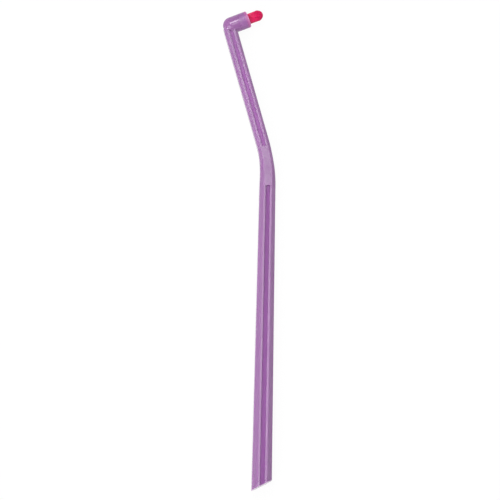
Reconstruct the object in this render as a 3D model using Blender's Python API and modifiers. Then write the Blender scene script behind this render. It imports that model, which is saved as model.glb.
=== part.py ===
"""Single tuft toothbrush: an octagonal handle, bent neck and round head in one moulding, a tuft and its anchor.

The brush lies on its side, on the plane Z = 0, with its bend in a level plane. +Y runs from the cut end of the
handle to the head, and the tuft points towards +X. Everything is in metres.
"""

import math

import bmesh
import bpy
from mathutils import Matrix, Vector
from mathutils.geometry import delaunay_2d_cdt

# Handle: a tapering square bar with flattened corners, cut off at a slant
HANDLE_LENGTH = 0.1180  # bend corner to the middle of the cut end
HANDLE_END_WIDTH = 0.0072  # across the cut end
HANDLE_TOP_WIDTH = 0.00574  # across the handle below the bend
HANDLE_END_FLAT = 0.0035  # width of each main side at the cut end
HANDLE_TOP_FLAT = 0.0031
EDGE_RADIUS = 0.0004  # rounding of the eight long edges
END_CUT_ANGLE = math.radians(28.0)  # of the cut face, from square

# Bend and neck
BEND_ANGLE = math.radians(17.0)
BEND_RADIUS = 0.0490
WIDENING_START = -0.0040  # where the neck begins to widen, from the middle of the bend
WIDENING_END = 0.0100  # where the handle has its full top width
NECK_WIDTH = 0.00474
NECK_FLAT = 0.0030
NECK_LENGTH = 0.0511  # bend corner to the axis of the head
NECK_ROOT_LENGTH = 0.0015  # over which the neck rounds off into the head
NECK_ROOT_SHARE = 0.85  # size of the neck's end inside the head, as a share of its section

# Head: a round boss with a rounded back and a blind hole for the tuft
HEAD_DIAMETER = 0.0061
HEAD_REACH = 0.00745  # axis of the neck to the front face
HEAD_TILT = math.radians(5.4)  # forward of square to the neck
HEAD_BACK_OFFSET = 0.00085  # centre of the round back, in front of the neck's axis
HEAD_RIM_RADIUS = 0.00035
HOLE_DEPTH = 0.0040
HOLE_FLOOR_RADIUS = 0.0006
HOLE_LEAD_IN = 0.00012

# Flutes: shallow grooves with level floors along both broad sides, left out at the bend
FLUTE_DEPTH = 0.0005
FLUTE_FLOOR_SHARE = 0.85  # width of the floor, as a share of the mouth
HANDLE_FLUTE_START = 0.0091  # bend corner to the closed end of the handle's flute
HANDLE_FLUTE_START_WIDTH = 0.0016
HANDLE_FLUTE_END_WIDTH = 0.0019  # at the cut end
NECK_FLUTE_START = 0.0055  # bend corner to the closed end of the neck's flute
NECK_FLUTE_WIDTH = 0.0014

# Tuft
TUFT_DIAMETER = 0.00386
TUFT_HEIGHT = 0.00554  # tip above the front face
TUFT_DOME_HEIGHT = 0.00245  # half an ellipsoid, as wide as the tuft
TUFT_ROOT_RECESS = 0.0006  # top of the packed root below the front face
TUFT_FOLD_RADIUS = 0.0010  # rounding of the root where the strands fold
STRAND_WIDTH = 0.00015
STRAND_PITCH = 0.000178
STRAND_SIDES = 3

# Anchor: a flat metal staple that the strands are folded over
ANCHOR_WIDTH = 0.0049
ANCHOR_HEIGHT = 0.0015
ANCHOR_THICKNESS = 0.00032
ANCHOR_FLOOR_GAP = 0.0011  # lower edge of the anchor above the floor of the hole

CLEARANCE = 0.0002  # between pieces that touch
OVERRUN = 0.0030  # how far cutters pass what they cut
MERGE = 0.000001

# Facets
SIDES = 8
CORNER_STEPS = 3
BEND_STEPS = 24
ROOT_STEPS = 4
ROUND_STEPS = 64
RIM_STEPS = 4
BACK_STEPS = 16


def clear_scene():
    for obj in list(bpy.data.objects):
        bpy.data.objects.remove(obj)


def make_collection(name):
    collection = bpy.data.collections.new(name)
    bpy.context.scene.collection.children.link(collection)
    return collection


def add_object(name, data, collection, parent=None):
    obj = bpy.data.objects.new(name, data)
    collection.objects.link(obj)
    obj.parent = parent
    return obj


def add_bmesh(name, bm, collection, parent):
    mesh = bpy.data.meshes.new(name)
    bm.to_mesh(mesh)
    bm.free()
    return add_object(name, mesh, collection, parent)


def hide_helper(obj):
    obj.hide_render = True
    obj.display_type = "WIRE"
    return obj


def add_boolean(obj, other, operation):
    modifier = obj.modifiers.new(f"{operation.lower()}_{other.name}", "BOOLEAN")
    modifier.operation = operation
    modifier.object = hide_helper(other)


def make_material(name, colour, roughness, metallic=0.0, transmission=0.0):
    material = bpy.data.materials.new(name)
    material.use_nodes = True
    shader = material.node_tree.nodes["Principled BSDF"]
    shader.inputs["Base Color"].default_value = (*colour, 1.0)
    shader.inputs["Roughness"].default_value = roughness
    shader.inputs["Metallic"].default_value = metallic
    shader.inputs["Transmission Weight"].default_value = transmission
    return material


def loft(name, rings, collection, parent):
    """A solid through rings of as many points each, closed by its first and last ring."""
    bm = bmesh.new()
    loops = [[bm.verts.new(point) for point in ring] for ring in rings]
    for lower, upper in zip(loops, loops[1:]):
        for i in range(len(lower)):
            after = (i + 1) % len(lower)
            bm.faces.new([lower[i], lower[after], upper[after], upper[i]])
    bm.faces.new(loops[0])
    bm.faces.new(loops[-1])
    bmesh.ops.recalc_face_normals(bm, faces=bm.faces)
    return add_bmesh(name, bm, collection, parent)


def arc(centre, radius, start, end, steps):
    """Points of an arc in the plane of a profile, from one angle to another."""
    angles = [start + (end - start) * i / steps for i in range(steps + 1)]
    return [(centre[0] + radius * math.cos(angle), centre[1] + radius * math.sin(angle)) for angle in angles]


def section_outline(width, flat):
    """Outline of a square bar whose corners are flattened to leave main sides of that width, its edges rounded."""
    turn = 2 * math.pi / SIDES
    points = []
    for side in range(SIDES):
        reach, next_reach = (width / 2, (width + flat) / 2 / math.sqrt(2))
        if side % 2:
            reach, next_reach = next_reach, reach
        reach, next_reach = reach - EDGE_RADIUS, next_reach - EDGE_RADIUS
        angle = side * turn
        across = (next_reach - reach * math.cos(turn)) / math.sin(turn)
        centre = (
            reach * math.cos(angle) - across * math.sin(angle),
            reach * math.sin(angle) + across * math.cos(angle),
        )
        points += arc(centre, EDGE_RADIUS, angle, angle + turn, CORNER_STEPS)
    return points


def bend_half_length():
    return BEND_RADIUS * BEND_ANGLE / 2


def bend_tangent():
    """From the bend corner, where the two axes cross, to either end of the bend's arc."""
    return BEND_RADIUS * math.tan(BEND_ANGLE / 2)


def along_axis(distance):
    """Length of the axis from the middle of the bend to a point at that distance from the bend corner."""
    return distance - bend_tangent() + bend_half_length()


def neck_direction():
    return Vector((-math.sin(BEND_ANGLE), math.cos(BEND_ANGLE), 0))


def rod_size(along):
    """Width and flat of the rod at a length along the axis from the middle of the bend, positive down the handle."""
    if along <= WIDENING_START:
        return NECK_WIDTH, NECK_FLAT
    if along < WIDENING_END:
        share = (along - WIDENING_START) / (WIDENING_END - WIDENING_START)
        share *= share * (3 - 2 * share)
        start, end = (NECK_WIDTH, NECK_FLAT), (HANDLE_TOP_WIDTH, HANDLE_TOP_FLAT)
    else:
        share = (along - WIDENING_END) / (along_axis(HANDLE_LENGTH) - WIDENING_END)
        start, end = (HANDLE_TOP_WIDTH, HANDLE_TOP_FLAT), (HANDLE_END_WIDTH, HANDLE_END_FLAT)
    return tuple(first + (second - first) * share for first, second in zip(start, end))


def rod_frame(along):
    """Point of the rod's axis and the level direction across it."""
    half = bend_half_length()
    angle = min(max((half - along) / BEND_RADIUS, 0), BEND_ANGLE)
    across = Vector((math.cos(angle), math.sin(angle), 0))
    if along >= half:
        return Vector((0, half - along - bend_tangent(), 0)), across
    if along <= -half:
        return neck_direction() * (bend_tangent() - along - half), across
    centre = Vector((-BEND_RADIUS, -bend_tangent(), 0))
    return centre + across * BEND_RADIUS, across


def rod_ring(along, share=1.0):
    place, across = rod_frame(along)
    width, flat = rod_size(along)
    return [place + (across * x + Vector((0, 0, z))) * share for x, z in section_outline(width, flat)]


def make_rod(parts, frame):
    """Handle, bend and neck: one section carried along the bent axis."""
    curved = max(WIDENING_END, bend_half_length())
    step = (curved + bend_half_length()) / BEND_STEPS
    beyond = along_axis(HANDLE_LENGTH) + OVERRUN + HANDLE_END_WIDTH * math.tan(END_CUT_ANGLE)
    stations = [beyond] + [curved - i * step for i in range(BEND_STEPS + 1)]
    rings = [rod_ring(along) for along in stations]
    for i in range(ROOT_STEPS + 1):
        share = i / ROOT_STEPS
        along = -along_axis(NECK_LENGTH - NECK_ROOT_LENGTH * (1 - share))
        rings.append(rod_ring(along, 1 - (1 - NECK_ROOT_SHARE) * share**2))
    return loft("handle", rings, parts, frame)


def flute_cutter(name, direction, reaches, widths, side, cutters, frame):
    """A bar that cuts a groove along one broad side, between two distances from the bend corner."""
    bend_side = 1 if direction.y < 0 else -1
    across = direction.cross(Vector((0, 0, 1)))
    rings = []
    for reach, width in zip(reaches, widths):
        surface = rod_size(bend_side * along_axis(reach))[0] / 2
        floor = width * FLUTE_FLOOR_SHARE
        ring = []
        for x, height in (
            (floor / 2, surface - FLUTE_DEPTH),
            (width - floor / 2, surface + FLUTE_DEPTH),
            (floor / 2 - width, surface + FLUTE_DEPTH),
            (-floor / 2, surface - FLUTE_DEPTH),
        ):
            ring.append(direction * reach + across * x + Vector((0, 0, side * height)))
        rings.append(ring)
    return loft(name, rings, cutters, frame)


def turned(name, profile, collection, parent):
    """A solid turned about local Z from (radius, height) points, running down its outer side."""
    bm = bmesh.new()
    verts = [bm.verts.new((radius, 0, height)) for radius, height in profile]
    for first, second in zip(verts, verts[1:]):
        bm.edges.new((first, second))
    obj = add_bmesh(name, bm, collection, parent)
    screw = obj.modifiers.new("turn", "SCREW")
    screw.axis = "Z"
    screw.angle = 2 * math.pi
    screw.steps = ROUND_STEPS
    screw.render_steps = ROUND_STEPS
    screw.use_merge_vertices = True
    screw.merge_threshold = MERGE
    return obj


def box(name, size, collection, parent, place=None):
    bm = bmesh.new()
    bmesh.ops.create_cube(bm, size=1.0)
    bmesh.ops.scale(bm, vec=size, verts=bm.verts)
    obj = add_bmesh(name, bm, collection, parent)
    if place:
        obj.matrix_local = place
    return obj


def head_profile():
    """Half outline of the head about its own axis, with the front face at height 0."""
    radius = HEAD_DIAMETER / 2
    back = HEAD_BACK_OFFSET - HEAD_REACH
    points = [(0, 0)]
    points += arc((radius - HEAD_RIM_RADIUS, -HEAD_RIM_RADIUS), HEAD_RIM_RADIUS, math.pi / 2, 0, RIM_STEPS)
    points += arc((0, back), radius, 0, -math.pi / 2, BACK_STEPS)[:-1]
    return points + [(0, back - radius)]


def hole_profile():
    """Half outline of the hole's cutter, from beyond the front face down to the floor."""
    radius = TUFT_DIAMETER / 2 + CLEARANCE
    floor = (radius - HOLE_FLOOR_RADIUS, HOLE_FLOOR_RADIUS - HOLE_DEPTH)
    points = [(0, OVERRUN), (radius + HOLE_LEAD_IN, OVERRUN), (radius + HOLE_LEAD_IN, 0), (radius, -HOLE_LEAD_IN)]
    points += arc(floor, HOLE_FLOOR_RADIUS, 0, -math.pi / 2, RIM_STEPS)
    return points + [(0, -HOLE_DEPTH)]


def head_matrix():
    """Local +Z along the axis of the head, out of the middle of its front face, and local Y upright."""
    tilt = BEND_ANGLE + HEAD_TILT
    axis = Vector((math.cos(tilt), math.sin(tilt), 0))
    upright = Vector((0, 0, 1))
    matrix = Matrix((upright.cross(axis), upright, axis)).transposed().to_4x4()
    matrix.translation = neck_direction() * NECK_LENGTH + axis * HEAD_REACH
    return matrix


def anchor_place():
    return Matrix.Translation((0, 0, ANCHOR_FLOOR_GAP - HOLE_DEPTH + ANCHOR_HEIGHT / 2))


def make_handle(parts, cutters, frame, head_frame, plastic):
    """Handle, neck and head: one clear moulding."""
    handle = make_rod(parts, frame)
    down, up = Vector((0, -1, 0)), neck_direction()
    handle_reaches = (HANDLE_FLUTE_START, HANDLE_LENGTH + OVERRUN + HANDLE_END_WIDTH)
    widening = (HANDLE_FLUTE_END_WIDTH - HANDLE_FLUTE_START_WIDTH) / (HANDLE_LENGTH - HANDLE_FLUTE_START)
    end_width = HANDLE_FLUTE_START_WIDTH + widening * (handle_reaches[1] - HANDLE_FLUTE_START)
    handle_widths = (HANDLE_FLUTE_START_WIDTH, end_width)
    neck_reaches = (NECK_FLUTE_START, NECK_LENGTH + HEAD_DIAMETER)
    neck_widths = (NECK_FLUTE_WIDTH, NECK_FLUTE_WIDTH)
    for side, label in ((1, "upper"), (-1, "lower")):
        cutter = flute_cutter(f"handle_flute_{label}", down, handle_reaches, handle_widths, side, cutters, frame)
        add_boolean(handle, cutter, "DIFFERENCE")
        cutter = flute_cutter(f"neck_flute_{label}", up, neck_reaches, neck_widths, side, cutters, frame)
        add_boolean(handle, cutter, "DIFFERENCE")

    add_boolean(handle, turned("head_solid", head_profile(), cutters, head_frame), "UNION")
    add_boolean(handle, turned("tuft_hole", hole_profile(), cutters, head_frame), "DIFFERENCE")
    seat = [size + 2 * CLEARANCE for size in (ANCHOR_THICKNESS, ANCHOR_WIDTH, ANCHOR_HEIGHT)]
    add_boolean(handle, box("anchor_seat", seat, cutters, head_frame, anchor_place()), "DIFFERENCE")

    depth = 2 * (OVERRUN + HANDLE_END_WIDTH)
    place = Matrix.Translation((0, -HANDLE_LENGTH, 0)) @ Matrix.Rotation(END_CUT_ANGLE, 4, "Z")
    place = place @ Matrix.Translation((0, -depth / 2, 0))
    add_boolean(handle, box("end_cut", (2 * depth, depth, depth), cutters, frame, place), "DIFFERENCE")
    handle.data.materials.append(plastic)
    return handle


def make_anchor(parts, head_frame, metal):
    """A flat staple across the hole, its ends bitten into the wall."""
    size = (ANCHOR_THICKNESS, ANCHOR_WIDTH, ANCHOR_HEIGHT)
    anchor = box("anchor_plate", size, parts, head_frame, anchor_place())
    anchor.data.materials.append(metal)
    return anchor


def strand_places():
    """Centres of the strands, on a triangular grid that fills the round tuft."""
    row_pitch = STRAND_PITCH * math.sqrt(3) / 2
    reach = TUFT_DIAMETER / 2 * math.cos(math.pi / ROUND_STEPS) - STRAND_WIDTH
    rows = int(reach / row_pitch) + 1
    columns = int(reach / STRAND_PITCH) + 1
    places = []
    for row in range(-rows, rows + 1):
        for column in range(-columns, columns + 1):
            place = Vector(((column + row % 2 / 2) * STRAND_PITCH, row * row_pitch))
            if place.length <= reach:
                places.append(place)
    return places


def strand_height(place):
    """Height of a strand's tip above the front face: a blunt dome."""
    share = min(1.0, place.length / (TUFT_DIAMETER / 2))
    return TUFT_HEIGHT - TUFT_DOME_HEIGHT * (1 - math.sqrt(1 - share**2))


def circle(centre, radius, count):
    angles = [2 * math.pi * i / count for i in range(count)]
    return [centre + Vector((math.cos(angle), math.sin(angle))) * radius for angle in angles]


def make_tuft(parts, cutters, head_frame, filament):
    """Strands of three sides that stand on the packed root, which is folded over the anchor."""
    places = strand_places()
    points = circle(Vector((0, 0)), TUFT_DIAMETER / 2, ROUND_STEPS)
    faces = [list(range(ROUND_STEPS))]
    for place in places:
        faces.append([len(points) + i for i in range(STRAND_SIDES)])
        points += circle(place, STRAND_WIDTH / 2 / math.sin(math.pi / STRAND_SIDES), STRAND_SIDES)
    flat, _, tiles, _, _, sources = delaunay_2d_cdt(points, [], faces, 0, MERGE)

    bm = bmesh.new()
    top = [bm.verts.new((point.x, point.y, -TUFT_ROOT_RECESS)) for point in flat]
    for tile, source in zip(tiles, sources):
        feet = [top[i] for i in tile]
        strand = max(source)
        if strand == 0:
            bm.faces.new(feet)
            continue
        height = strand_height(places[strand - 1])
        tips = [bm.verts.new((flat[i].x, flat[i].y, height)) for i in tile]
        bm.faces.new(tips)
        for i in range(STRAND_SIDES):
            after = (i + 1) % STRAND_SIDES
            bm.faces.new([feet[i], feet[after], tips[after], tips[i]])
    close_root(bm, top[:ROUND_STEPS])
    bmesh.ops.recalc_face_normals(bm, faces=bm.faces)
    tuft = add_bmesh("bristle_tuft", bm, parts, head_frame)
    window = (ANCHOR_THICKNESS + 2 * CLEARANCE, TUFT_DIAMETER + OVERRUN, ANCHOR_HEIGHT + 2 * CLEARANCE)
    add_boolean(tuft, box("anchor_window", window, cutters, head_frame, anchor_place()), "DIFFERENCE")
    tuft.data.materials.append(filament)
    return tuft


def close_root(bm, ring):
    """Closes the root below its top ring: down the side and round to the folded bottom."""
    radius = TUFT_DIAMETER / 2
    centre = (radius - TUFT_FOLD_RADIUS, CLEARANCE - HOLE_DEPTH + TUFT_FOLD_RADIUS)
    for reach, height in arc(centre, TUFT_FOLD_RADIUS, 0, -math.pi / 2, RIM_STEPS):
        lower = [bm.verts.new((*(vert.co.xy.normalized() * reach), height)) for vert in ring]
        for i in range(ROUND_STEPS):
            after = (i + 1) % ROUND_STEPS
            bm.faces.new([ring[i], lower[i], lower[after], ring[after]])
        ring = lower
    bm.faces.new(list(reversed(ring)))


def centre_on_table(frame, pieces):
    """Moves the brush so that the middle of its box is on the Z axis and its lowest point on Z = 0."""
    bpy.context.view_layer.update()
    graph = bpy.context.evaluated_depsgraph_get()
    points = []
    for piece in pieces:
        evaluated = piece.evaluated_get(graph)
        points += [evaluated.matrix_world @ vertex.co for vertex in evaluated.to_mesh().vertices]
        evaluated.to_mesh_clear()
    low = Vector([min(point[i] for point in points) for i in range(3)])
    high = Vector([max(point[i] for point in points) for i in range(3)])
    frame.location = (-(low.x + high.x) / 2, -(low.y + high.y) / 2, -low.z)


def main():
    clear_scene()
    parts = make_collection("single_tuft_toothbrush")
    cutters = make_collection("cutters")
    frame = add_object("brush_frame", None, parts)
    head_frame = add_object("head_frame", None, parts, frame)
    head_frame.matrix_local = head_matrix()

    plastic = make_material("violet_plastic", (0.36, 0.13, 0.44), 0.12, transmission=0.9)
    filament = make_material("pink_filament", (0.74, 0.02, 0.12), 0.35)
    metal = make_material("anchor_metal", (0.72, 0.66, 0.52), 0.3, metallic=1.0)

    pieces = [
        make_handle(parts, cutters, frame, head_frame, plastic),
        make_tuft(parts, cutters, head_frame, filament),
        make_anchor(parts, head_frame, metal),
    ]
    centre_on_table(frame, pieces)


main()
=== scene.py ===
"""Looks of the single tuft toothbrush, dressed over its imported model.

The brush lies on its side on the floor, Z = 0, and the camera looks down on it. +Y runs from the cut end of
the handle to the head, and the tuft points towards +X. Everything is in metres.
"""

import math
import random
from typing import NamedTuple

import bpy
from mathutils import Matrix, Vector


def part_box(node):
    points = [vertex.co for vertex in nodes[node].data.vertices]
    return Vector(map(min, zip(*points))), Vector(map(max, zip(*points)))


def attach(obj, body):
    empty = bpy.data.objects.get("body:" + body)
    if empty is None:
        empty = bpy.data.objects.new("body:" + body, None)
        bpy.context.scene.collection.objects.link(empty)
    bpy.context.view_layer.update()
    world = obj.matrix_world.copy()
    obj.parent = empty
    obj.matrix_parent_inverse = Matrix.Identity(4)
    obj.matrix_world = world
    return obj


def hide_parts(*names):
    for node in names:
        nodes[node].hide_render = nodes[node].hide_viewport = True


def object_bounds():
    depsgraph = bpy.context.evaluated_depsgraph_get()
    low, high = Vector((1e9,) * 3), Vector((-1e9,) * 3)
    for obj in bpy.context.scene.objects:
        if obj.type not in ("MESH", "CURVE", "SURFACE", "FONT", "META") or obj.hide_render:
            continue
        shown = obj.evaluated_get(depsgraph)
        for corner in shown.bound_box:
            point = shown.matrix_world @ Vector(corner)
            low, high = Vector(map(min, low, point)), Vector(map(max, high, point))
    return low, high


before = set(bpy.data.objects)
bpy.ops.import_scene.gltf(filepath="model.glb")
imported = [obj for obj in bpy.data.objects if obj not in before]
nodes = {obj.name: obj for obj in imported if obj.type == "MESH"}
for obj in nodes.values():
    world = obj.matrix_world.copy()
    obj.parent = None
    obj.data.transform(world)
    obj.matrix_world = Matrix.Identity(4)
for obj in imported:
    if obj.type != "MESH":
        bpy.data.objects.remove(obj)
cad_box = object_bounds()

# Brush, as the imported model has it
HANDLE_LENGTH = 0.1180  # bend corner to the middle of the cut end
HANDLE_END_WIDTH = 0.0072
END_CUT_ANGLE = math.radians(28.0)
BEND_ANGLE = math.radians(17.0)
HEAD_ANGLE = math.radians(22.4)  # of the head's axis, from +X towards +Y
TUFT_RADIUS = 0.00193
TUFT_HEIGHT = 0.00554  # tip above the head's front face
TUFT_DOME_HEIGHT = 0.00245  # half an ellipsoid, as wide as the tuft
ANCHOR_THICKNESS = 0.00032

# Limits that tell the regions of the moulding apart; a reach is from an axis, a depth from the head's front
GROOVE_REACH = 0.00085
LEVEL_NORMAL = 0.999  # least share of a level face's normal that points up or down
HEAD_REACH = 0.00308
HEAD_DEPTH = 0.0095
FRONT_SLACK = 0.0001
RIM_DEPTH = 0.0009
HOLE_REACH = 0.0026
FLOOR_DEPTH = 0.001  # the floor of the hole and the seat of the anchor are deeper than this
FLOOR_NORMAL = 0.9  # least share of their normals that points to the mouth

# Shading
WELD_DISTANCE = 0.0000005
SHARP_ANGLE = math.radians(32)
TIP_SHARP_ANGLE = math.radians(75)  # of the filaments

# Look of the head by depth behind its front face
PAINTED_REFLECTION_DEPTH = 0.0014  # the tuft's pink is painted on the wall round it as its reflection, down to here
# Colour of the painted reflection of the tuft on that wall
PAINTED_TUFT_REFLECTION = (0.60, 0.13, 0.36)
DULL_DEPTH = 0.0032  # the wall round the hole is duller than the solid back, down to here
GLOSSY_DEPTH = 0.0042
DULLNESS = 3.5  # times the roughness of the solid back

# Violet plastic: a faint cloud in its colour and a fine scuff in its surface
CLOUD_SCALE = 220
CLOUD_STRETCH = (1, 0.12, 1)
CLOUD_SHARES = (0.94, 1.06)
SCUFF_SCALE = 2600
SCUFF_STRETCH = (1, 0.35, 1)
SCUFF_DETAIL = 5.0
SCUFF_SHARES = (0.7, 1.3)
SCUFF_HEIGHT = 0.000004
SCUFF_STRENGTH = 0.12
SCATTER_RADII = (1.0, 0.6, 1.0)
PLASTIC_IOR = 1.5

# Pink nylon
NYLON_COLOURS = ((0.62, 0.004, 0.090), (0.86, 0.008, 0.135))
NYLON_ROUGHNESS = (0.28, 0.42)
NYLON_IOR = 1.53
NYLON_SHINE = 0.3

# Nickel silver strip
METAL_COLOURS = ((0.50, 0.45, 0.36), (0.78, 0.72, 0.60))
METAL_ROUGHNESS = (0.22, 0.45)
ROLLING_SCALE = 4000
ROLLING_STRETCH = (1, 1, 0.05)
ROLLING_DETAIL = 4.0
ROLLING_HEIGHT = 0.000006
ROLLING_STRENGTH = 0.6

# Filaments, folded in pairs over the anchor
FILAMENT_RADIUS = 0.00005
FILAMENT_PITCH = 0.000112
FILAMENT_SIDES = 5
TIP_LENGTH_SHARE = 0.7  # of the blunt rounded tip, in filament radii
TIP_WIDTH_SHARE = 0.55
JITTER = 0.000018  # of the feet
TIP_SCATTER = 0.00005
LEAN_SCATTER = 0.00006  # sideways, at the tip
SPLAY_SHARE = 0.02  # how much the tuft spreads from its mouth to its tip
FREE_STEPS = 4
FOLD_STEPS = 6
FOLD_DEPTH = 0.0008  # of the outermost filaments, below the anchor
INNER_FOLD_SHARE = 0.15  # of that depth, at the very middle
SEED = 7

# Camera, matched to the photograph
FRAME_PIXELS = 500
METRES_PER_PIXEL = 0.00036069
ORIGIN_PIXEL = (247.28, 249.80)  # where the middle of the brush's box shows
ROLL = math.radians(-1.124)
TILT = math.radians(8.0)  # of the camera, towards the cut end
TURN = math.radians(4.0)  # of the camera, towards -X
LENS = 1000.0
SENSOR = 36.0

# Floor and light
FLOOR_SIZE = 3.0
FLOOR_COLOUR = (0.9, 0.9, 0.9)
FLOOR_ROUGHNESS = 0.9
FLOOR_GLOW_SHARE = 0.95
WORLD_STRENGTH = 0.41
LAMPS = (  # name, place, size and power
    ("key", (-0.55, -0.5, 0.87), 1.0, 9.5),  # large and soft, from the lower left
    ("fill", (0, 0.14, 0.99), 0.33, 1.05),  # mirrored by the flat sides
    ("band", (-0.22, 0.52, 0.84), 0.4, 4.3),  # mirrored by the head
)


class Plastic(NamedTuple):
    """A violet plastic. Scatter is the share of light that wanders inside it, about as far as its depth."""

    colour: tuple
    roughness: float
    clearness: float
    scatter: float
    scatter_depth: float = 0.0015


# Plastics of the moulding by region
PLASTICS = {
    "gloss": Plastic((0.335, 0.163, 0.370), 0.16, 0.1, 0.8),  # the whole outside but for the regions below
    "frost_and_shade": Plastic((0.27, 0.062, 0.315), 0.5, 0.2, 0.8, 0.001),  # groove floors of the handle: frosted, and painted darker as shade in the groove
    "neck": Plastic((0.325, 0.093, 0.368), 0.45, 0.1, 0.8, 0.001),  # groove floors of the neck: frosted, and painted darker as shade in the groove
    "head": Plastic((0.322, 0.124, 0.352), 0.1, 0.15, 0.5),
    "hole": Plastic((0.90, 0.45, 0.95), 0.5, 0.0, 0.0),  # walls and floor of the hole in the head, painted pale as lit plastic so that the head over the hole shows lighter
    "rim_highlight": Plastic((0.58, 0.24, 0.48), 0.3, 0.1, 0.8, 0.001),  # rounded front edge of the head, painted paler and pinker as a highlight and the tuft's reflection
}
REGIONS = list(PLASTICS)


def principled(name):
    """A new material, its node tree and its shader."""
    material = bpy.data.materials.new(name)
    material.use_nodes = True
    return material, material.node_tree, material.node_tree.nodes["Principled BSDF"]


def calculate(tree, operation, *values):
    """A maths node on sockets or plain numbers."""
    node = tree.nodes.new("ShaderNodeMath")
    node.operation = operation
    for socket, value in zip(node.inputs, values):
        if isinstance(value, bpy.types.NodeSocket):
            tree.links.new(value, socket)
        else:
            socket.default_value = value
    return node.outputs["Value"]


def noise(tree, scale, stretch, detail=3.0):
    """A noise pattern in the object's own coordinates, with about scale features per metre."""
    coordinates = tree.nodes.new("ShaderNodeTexCoord")
    mapping = tree.nodes.new("ShaderNodeMapping")
    mapping.inputs["Scale"].default_value = stretch
    pattern = tree.nodes.new("ShaderNodeTexNoise")
    pattern.inputs["Scale"].default_value = scale
    pattern.inputs["Detail"].default_value = detail
    tree.links.new(coordinates.outputs["Object"], mapping.inputs["Vector"])
    tree.links.new(mapping.outputs["Vector"], pattern.inputs["Vector"])
    return pattern.outputs["Fac"]


def ramp(tree, source, low, high, start=0.3, end=0.7):
    """A colour that goes from low to high while the source goes from start to end."""
    node = tree.nodes.new("ShaderNodeValToRGB")
    for element, position, colour in zip(node.color_ramp.elements, (start, end), (low, high)):
        element.position = position
        element.color = (*colour, 1)
    tree.links.new(source, node.inputs["Fac"])
    return node.outputs["Color"]


def spread(tree, source, low, high, start=0.3, end=0.7):
    """A number that goes from low to high while the source goes from start to end."""
    node = tree.nodes.new("ShaderNodeMapRange")
    for name, value in (("From Min", start), ("From Max", end), ("To Min", low), ("To Max", high)):
        node.inputs[name].default_value = value
    tree.links.new(source, node.inputs["Value"])
    return node.outputs["Result"]


def blend(tree, share, first, colour):
    """A colour that goes from the first one to the given one with the share."""
    node = tree.nodes.new("ShaderNodeMix")
    node.data_type = "RGBA"
    sockets = {socket.identifier: socket for socket in node.inputs}
    tree.links.new(share, sockets["Factor_Float"])
    tree.links.new(first, sockets["A_Color"])
    sockets["B_Color"].default_value = (*colour, 1)
    return next(socket for socket in node.outputs if socket.identifier == "Result_Color")


def bump(tree, shader, source, distance, strength):
    """Roughens a shader's surface by the source, as if that raised it by up to the distance."""
    node = tree.nodes.new("ShaderNodeBump")
    node.inputs["Distance"].default_value = distance
    node.inputs["Strength"].default_value = strength
    tree.links.new(source, node.inputs["Height"])
    tree.links.new(node.outputs["Normal"], shader.inputs["Normal"])


def violet_plastic(region):
    """Violet tinted plastic: faintly cloudy along its length, with a fine scuff in its surface."""
    plastic = PLASTICS[region]
    material, tree, shader = principled(f"violet_{region}")
    cloud = noise(tree, CLOUD_SCALE, CLOUD_STRETCH)
    dark, light = ([channel * share for channel in plastic.colour] for share in CLOUD_SHARES)
    tree.links.new(ramp(tree, cloud, dark, light), shader.inputs["Base Color"])
    scuff = noise(tree, SCUFF_SCALE, SCUFF_STRETCH, SCUFF_DETAIL)
    smooth, rough = (plastic.roughness * share for share in SCUFF_SHARES)
    tree.links.new(spread(tree, scuff, smooth, rough), shader.inputs["Roughness"])
    bump(tree, shader, scuff, SCUFF_HEIGHT, SCUFF_STRENGTH)
    shader.inputs["Transmission Weight"].default_value = plastic.clearness
    shader.inputs["Subsurface Weight"].default_value = plastic.scatter
    shader.inputs["Subsurface Radius"].default_value = SCATTER_RADII
    shader.inputs["Subsurface Scale"].default_value = plastic.scatter_depth
    shader.inputs["IOR"].default_value = PLASTIC_IOR
    return material


def head_depth(tree, head):
    """How far a point is behind the head's front face."""
    axis = head.col[2].to_3d()
    coordinates = tree.nodes.new("ShaderNodeTexCoord")
    along = tree.nodes.new("ShaderNodeVectorMath")
    along.operation = "DOT_PRODUCT"
    along.inputs[1].default_value = axis
    tree.links.new(coordinates.outputs["Object"], along.inputs[0])
    return calculate(tree, "SUBTRACT", axis.dot(head.translation), along.outputs["Value"])


def vary_along_head(material, head):
    """Paints a plastic pink by the mouth as the tuft's reflection, and makes it dull as far as the hole
    goes.
    """
    tree = material.node_tree
    shader = tree.nodes["Principled BSDF"]
    colour, roughness = shader.inputs["Base Color"], shader.inputs["Roughness"]
    depth = head_depth(tree, head)
    # Painted reflection: the tuft's pink, fading out behind the mouth
    pink = spread(tree, depth, 1.0, 0.0, 0.0, PAINTED_REFLECTION_DEPTH)
    tree.links.new(blend(tree, pink, colour.links[0].from_socket, PAINTED_TUFT_REFLECTION), colour)
    dull = spread(tree, depth, DULLNESS, 1.0, DULL_DEPTH, GLOSSY_DEPTH)
    tree.links.new(calculate(tree, "MULTIPLY", roughness.links[0].from_socket, dull), roughness)


def pink_nylon():
    """Crimson filaments, each a little unlike its neighbours."""
    material, tree, shader = principled("pink_nylon")
    each = tree.nodes.new("ShaderNodeNewGeometry").outputs["Random Per Island"]
    tree.links.new(ramp(tree, each, *NYLON_COLOURS, 0.0, 1.0), shader.inputs["Base Color"])
    tree.links.new(spread(tree, each, *NYLON_ROUGHNESS, 0.0, 1.0), shader.inputs["Roughness"])
    shader.inputs["IOR"].default_value = NYLON_IOR
    shader.inputs["Specular IOR Level"].default_value = NYLON_SHINE
    return material


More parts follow.
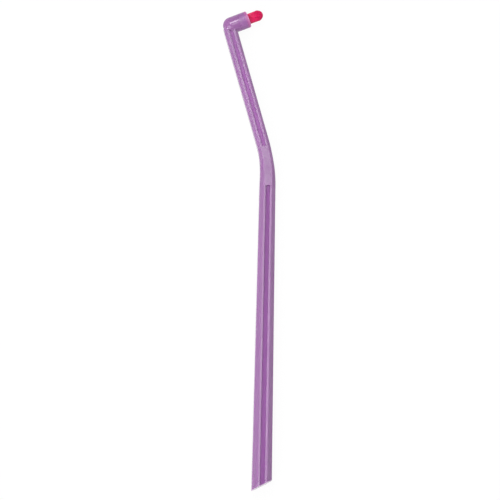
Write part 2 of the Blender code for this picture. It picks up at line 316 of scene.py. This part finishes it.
def staple_metal():
    """Rolled nickel silver strip, with the lines of its rolling."""
    material, tree, shader = principled("staple_metal")
    rolled = noise(tree, ROLLING_SCALE, ROLLING_STRETCH, ROLLING_DETAIL)
    tree.links.new(ramp(tree, rolled, *METAL_COLOURS), shader.inputs["Base Color"])
    tree.links.new(spread(tree, rolled, *METAL_ROUGHNESS), shader.inputs["Roughness"])
    bump(tree, shader, rolled, ROLLING_HEIGHT, ROLLING_STRENGTH)
    shader.inputs["Metallic"].default_value = 1.0
    return material


def shade_by_area(obj):
    """Smooth shading that keeps flat sides flat and marked edges sharp."""
    obj.data.shade_smooth()
    joined = obj.modifiers.new("joined_faces", "WELD")
    joined.merge_threshold = WELD_DISTANCE
    edges = obj.modifiers.new("sharp_edges", "EDGE_SPLIT")
    edges.split_angle = SHARP_ANGLE
    weighted = obj.modifiers.new("weighted_normals", "WEIGHTED_NORMAL")
    weighted.keep_sharp = True


def head_frame():
    """Local +Z along the axis of the head, from the middle of its front face, and local Y upright."""
    axis = Vector((math.cos(HEAD_ANGLE), math.sin(HEAD_ANGLE), 0))
    upright = Vector((0, 0, 1))
    low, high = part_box("anchor_plate")
    centre = (low + high) / 2
    tip = max(axis.dot(vertex.co) for vertex in nodes["bristle_tuft"].data.vertices)
    matrix = Matrix((upright.cross(axis), upright, axis)).transposed().to_4x4()
    matrix.translation = centre + axis * (tip - TUFT_HEIGHT - axis.dot(centre))
    return matrix


def bend_corner():
    """Where the axes of the handle and the neck cross, seen from above."""
    low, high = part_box("handle")
    y = low.y + HANDLE_LENGTH + HANDLE_END_WIDTH / 2 * math.tan(END_CUT_ANGLE)
    return Vector((high.x - HANDLE_END_WIDTH / 2, y, 0))


def axis_distance(offset):
    """Level distance from the axis of the handle or, beyond the bend corner, of the neck.

    The offset is the point's place as seen from that corner.
    """
    if offset.y <= 0:
        return abs(offset.x)
    return abs(offset.x * math.cos(BEND_ANGLE) + offset.y * math.sin(BEND_ANGLE))


def in_hole(normal, points):
    """Whether a face of the head, given in the head's frame, looks at its axis or is the hole's floor."""
    middle = sum(points, Vector()) / len(points)
    if normal.x * middle.x + normal.y * middle.y < 0:
        return True
    return normal.z > FLOOR_NORMAL and middle.z < -FLOOR_DEPTH


def region_of(face, points, corner, to_head):
    """The region of the moulding that a face belongs to."""
    local = [to_head @ point for point in points]
    radius = max(math.hypot(point.x, point.y) for point in local)
    if radius < HEAD_REACH and all(-HEAD_DEPTH < point.z < FRONT_SLACK for point in local):
        if radius < HOLE_REACH and in_hole(to_head.to_3x3() @ face.normal, local):
            return "hole"
        # The rounded front edge gets the painted highlight and reflection
        return "rim_highlight" if min(point.z for point in local) > -RIM_DEPTH else "head"
    level = abs(face.normal.z) > LEVEL_NORMAL
    if level and max(axis_distance(point - corner) for point in points) < GROOVE_REACH:
        # Groove floors are frosted and painted darker as shade
        return "frost_and_shade" if (points[0] - corner).y < 0 else "neck"
    return "gloss"


def dress_handle(head):
    """The moulding: glossy, with frosted groove floors painted darker as shade, a dull hole in its head
    whose walls are painted pale as light, and a painted highlight on the head's rounded front edge.
    """
    handle = nodes["handle"]
    handle.data.materials.clear()
    for region in REGIONS:
        handle.data.materials.append(violet_plastic(region))
    vary_along_head(handle.data.materials[REGIONS.index("head")], head)
    corner, to_head = bend_corner(), head.inverted()
    for face in handle.data.polygons:
        points = [handle.data.vertices[i].co for i in face.vertices]
        face.material_index = REGIONS.index(region_of(face, points, corner, to_head))
    shade_by_area(handle)


def dress_anchor():
    """The anchor: rolled strip all over."""
    nodes["anchor_plate"].data.materials.clear()
    nodes["anchor_plate"].data.materials.append(staple_metal())


def anchor_span(head):
    """Heights of the anchor's upper and lower edge, measured from the head's front face."""
    heights = [(head.inverted() @ vertex.co).z for vertex in nodes["anchor_plate"].data.vertices]
    return max(heights), min(heights)


def filament_places(rng):
    """Feet of the filaments that stand on one side of the anchor, on a loose triangular grid."""
    row_pitch = FILAMENT_PITCH * math.sqrt(3) / 2
    reach = TUFT_RADIUS - FILAMENT_RADIUS
    rows = int(reach / row_pitch) + 1
    places = []
    for row in range(-rows, rows + 1):
        for column in range(rows + 1):
            place = Vector(((column + 0.5 + row % 2 / 2) * FILAMENT_PITCH, row * row_pitch))
            place += Vector((rng.uniform(-JITTER, JITTER), rng.uniform(-JITTER, JITTER)))
            if place.length <= reach:
                places.append(place)
    return places


def free_end(place, side, rng):
    """Points of one leg of a filament, from its tip down to the head's front face."""
    share = place.length / TUFT_RADIUS
    height = TUFT_HEIGHT - TUFT_DOME_HEIGHT * (1 - math.sqrt(1 - share**2))
    height += rng.uniform(-TIP_SCATTER, 0)
    lean = Vector((rng.uniform(-LEAN_SCATTER, LEAN_SCATTER), rng.uniform(-LEAN_SCATTER, LEAN_SCATTER)))
    points = []
    for i in range(FREE_STEPS + 1):
        up = 1 - i / FREE_STEPS
        x, y = place * (1 + SPLAY_SHARE * up**2) + lean * up**2
        points.append(Vector((side * x, y, height * up)))
    return points


def leg_reach(place):
    """How far from the middle a leg passes the anchor, which pushes the middle ones out."""
    inner = ANCHOR_THICKNESS / 2 + FILAMENT_RADIUS * 2
    return inner + place.x / TUFT_RADIUS * (TUFT_RADIUS - FILAMENT_RADIUS - inner)


def filament_path(place, rng, upper, lower):
    """Points of one filament: down one leg, round under the anchor and up the other leg."""
    reach = leg_reach(place)
    depth = FOLD_DEPTH * (INNER_FOLD_SHARE + (1 - INNER_FOLD_SHARE) * reach / TUFT_RADIUS)
    points = free_end(place, 1, rng)
    points.append(Vector((reach, place.y, upper)))
    for i in range(FOLD_STEPS + 1):
        turn = math.pi * i / FOLD_STEPS
        points.append(Vector((reach * math.cos(turn), place.y, lower - depth * math.sin(turn))))
    points.append(Vector((-reach, place.y, upper)))
    return points + list(reversed(free_end(place, -1, rng)))


def sweep(points, verts, faces):
    """Adds a closed tube along the points, with a blunt rounded tip at both ends."""
    across = Vector((0, 1, 0))
    start = len(verts)
    rings = []
    for i, point in enumerate(points):
        along = (points[min(i + 1, len(points) - 1)] - points[max(i - 1, 0)]).normalized()
        rings.append((point, along, FILAMENT_RADIUS))
    first, last = rings[0], rings[-1]
    length, width = FILAMENT_RADIUS * TIP_LENGTH_SHARE, FILAMENT_RADIUS * TIP_WIDTH_SHARE
    rings.insert(0, (first[0] - first[1] * length, first[1], width))
    rings.append((last[0] + last[1] * length, last[1], width))
    for point, along, radius in rings:
        side = along.cross(across).normalized()
        other = side.cross(along)
        for k in range(FILAMENT_SIDES):
            angle = 2 * math.pi * k / FILAMENT_SIDES
            verts.append(point + side * radius * math.cos(angle) + other * radius * math.sin(angle))
    for i in range(len(rings) - 1):
        low = start + i * FILAMENT_SIDES
        for k in range(FILAMENT_SIDES):
            after = (k + 1) % FILAMENT_SIDES
            faces.append((low + k, low + after, low + FILAMENT_SIDES + after, low + FILAMENT_SIDES + k))
    faces.append(tuple(start + k for k in reversed(range(FILAMENT_SIDES))))
    end = start + (len(rings) - 1) * FILAMENT_SIDES
    faces.append(tuple(end + k for k in range(FILAMENT_SIDES)))


def make_tuft(head):
    """The tuft as folded filaments, each from one tip down round the anchor and up to its other tip."""
    rng = random.Random(SEED)
    upper, lower = anchor_span(head)
    verts, faces = [], []
    for place in filament_places(rng):
        sweep(filament_path(place, rng, upper, lower), verts, faces)
    mesh = bpy.data.meshes.new("filaments")
    mesh.from_pydata([head @ vert for vert in verts], [], faces)
    mesh.shade_smooth()
    mesh.set_sharp_from_angle(angle=TIP_SHARP_ANGLE)
    mesh.materials.append(pink_nylon())
    tuft = bpy.data.objects.new("filaments", mesh)
    bpy.context.scene.collection.objects.link(tuft)
    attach(tuft, "root")
    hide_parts("bristle_tuft")


def show_white(tree, surface, white, share):
    """Mixes white into a surface by that share where the camera, a reflection or clear plastic shows it."""
    path = tree.nodes.new("ShaderNodeLightPath")
    seen = path.outputs["Is Camera Ray"]
    for name in ("Is Glossy Ray", "Is Transmission Ray"):
        seen = calculate(tree, "MAXIMUM", seen, path.outputs[name])
    plain = tree.nodes.new(white)
    plain.inputs["Color"].default_value = (1, 1, 1, 1)
    mix = tree.nodes.new("ShaderNodeMixShader")
    tree.links.new(calculate(tree, "MULTIPLY", seen, share), mix.inputs[0])
    tree.links.new(surface, mix.inputs[1])
    tree.links.new(plain.outputs[0], mix.inputs[2])
    return mix.outputs[0]


def make_floor():
    """A wide white floor, which shows almost plain white and keeps a trace of the brush's shadow."""
    material, tree, shader = principled("floor_white")
    shader.inputs["Base Color"].default_value = (*FLOOR_COLOUR, 1)
    shader.inputs["Roughness"].default_value = FLOOR_ROUGHNESS
    surface = show_white(tree, shader.outputs[0], "ShaderNodeEmission", FLOOR_GLOW_SHARE)
    tree.links.new(surface, tree.nodes["Material Output"].inputs["Surface"])
    half = FLOOR_SIZE / 2
    corners = [(-half, -half, 0), (half, -half, 0), (half, half, 0), (-half, half, 0)]
    mesh = bpy.data.meshes.new("floor")
    mesh.from_pydata(corners, [], [(0, 1, 2, 3)])
    mesh.materials.append(material)
    floor = bpy.data.objects.new("floor", mesh)
    bpy.context.scene.collection.objects.link(floor)


def make_world():
    """Even soft light from all round, which shows as plain white behind the brush."""
    world = bpy.data.worlds.new("studio")
    bpy.context.scene.world = world
    world.use_nodes = True
    tree = world.node_tree
    light = tree.nodes["Background"]
    light.inputs["Color"].default_value = (1, 1, 1, 1)
    light.inputs["Strength"].default_value = WORLD_STRENGTH
    surface = show_white(tree, light.outputs[0], "ShaderNodeBackground", 1.0)
    tree.links.new(surface, tree.nodes["World Output"].inputs["Surface"])


def make_lamps():
    """Square soft lamps, all turned to the middle of the brush."""
    for name, place, size, power in LAMPS:
        light = bpy.data.lights.new(name, "AREA")
        light.size = size
        light.energy = power
        lamp = bpy.data.objects.new(name, light)
        lamp.location = place
        lamp.rotation_euler = (-Vector(place)).to_track_quat("-Z", "Y").to_euler()
        bpy.context.scene.collection.objects.link(lamp)


def make_camera():
    """Looks down on the brush through a long lens, from a little towards its cut end and towards -X."""
    camera = bpy.data.cameras.new("camera")
    camera.lens = LENS
    camera.sensor_width = SENSOR
    basis = Matrix.Rotation(-TURN, 4, "Y") @ Matrix.Rotation(TILT, 4, "X") @ Matrix.Rotation(-ROLL, 4, "Z")
    right, up, back = (basis.col[i].to_3d() for i in range(3))
    low, high = cad_box
    aim = Vector((0, 0, (low.z + high.z) / 2))
    aim += right * (FRAME_PIXELS / 2 - ORIGIN_PIXEL[0]) * METRES_PER_PIXEL
    aim += up * (ORIGIN_PIXEL[1] - FRAME_PIXELS / 2) * METRES_PER_PIXEL
    distance = FRAME_PIXELS * METRES_PER_PIXEL * LENS / SENSOR
    basis.translation = aim + back * distance
    obj = bpy.data.objects.new("camera", camera)
    obj.matrix_world = basis
    bpy.context.scene.collection.objects.link(obj)
    bpy.context.scene.camera = obj


head_matrix = head_frame()
dress_handle(head_matrix)
dress_anchor()
make_tuft(head_matrix)
make_floor()
make_world()
make_lamps()
make_camera()
bpy.context.scene.view_settings.view_transform = "Standard"
